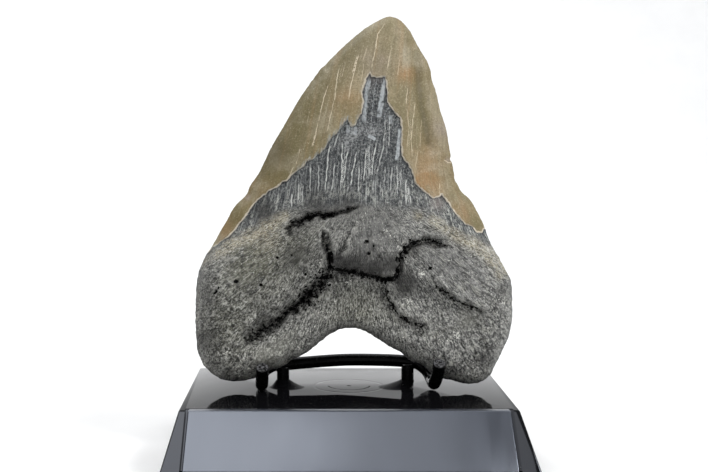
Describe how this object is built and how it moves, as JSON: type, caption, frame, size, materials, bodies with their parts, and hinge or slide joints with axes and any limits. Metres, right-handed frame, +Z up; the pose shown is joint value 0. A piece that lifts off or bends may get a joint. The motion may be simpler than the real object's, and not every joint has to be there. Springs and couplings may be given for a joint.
{
  "type": "fossil shark tooth on a display stand",
  "caption": "Fossil megalodon tooth with a grey root and tan enamel crown, resting in a black wire cradle on a slanted-front display base with a bare nameplate.",
  "frame": {"origin": "middle of the base's flat underside", "axes": "+Z up along the tooth's height, -Y towards the front with the nameplate, +X to the right as seen from the front"},
  "size_m": [0.1176, 0.0954, 0.1483],
  "materials": {
    "fossil": "grey mineralised bone root, satin tan and olive enamel crown, dark streaked band between them",
    "gloss_black": "glossy moulded plastic",
    "plate": "satin, bare",
    "rod": "satin black paint on steel rod"
  },
  "bodies": {
    "root": {"tooth": "fossil", "base": "gloss_black", "nameplate": "plate", "cradle_rod": "rod", "left_post": "rod", "right_post": "rod"}
  },
  "joints": []
}
